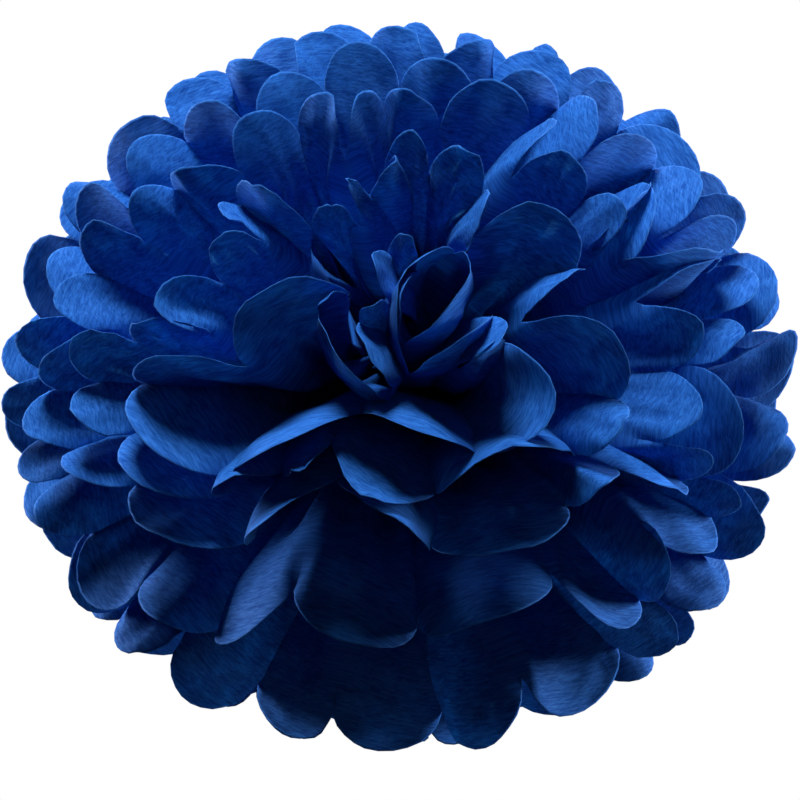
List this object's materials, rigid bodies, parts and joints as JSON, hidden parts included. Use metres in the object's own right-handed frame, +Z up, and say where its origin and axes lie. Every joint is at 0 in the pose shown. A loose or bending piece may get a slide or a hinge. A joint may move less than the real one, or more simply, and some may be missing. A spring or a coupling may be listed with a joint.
{
  "type": "tissue paper pom pom",
  "caption": "Ball of fluffed royal blue tissue paper petals, pleated, tied at the waist with wire and fanned out, to hang from a thread.",
  "frame": {"origin": "middle of the tie at the waist of the stack, which is the centre of the ball", "axes": "+Z up as it hangs, -Y towards the viewer, whom the open rosette faces, tipped up by 10 degrees; +X to the viewer's right"},
  "size_m": [0.2581, 0.2476, 0.2367],
  "materials": {
    "tissue": "matt crepe-grained tissue, lets light through at its edges",
    "wire": "thin paint, slightly glossy"
  },
  "bodies": {
    "root": {"sheet_01": "tissue", "sheet_02": "tissue", "sheet_03": "tissue", "sheet_04": "tissue", "sheet_05": "tissue", "sheet_06": "tissue", "sheet_07": "tissue", "sheet_08": "tissue", "sheet_09": "tissue", "sheet_10": "tissue", "sheet_11": "tissue", "tie_wire": "wire"}
  },
  "joints": []
}
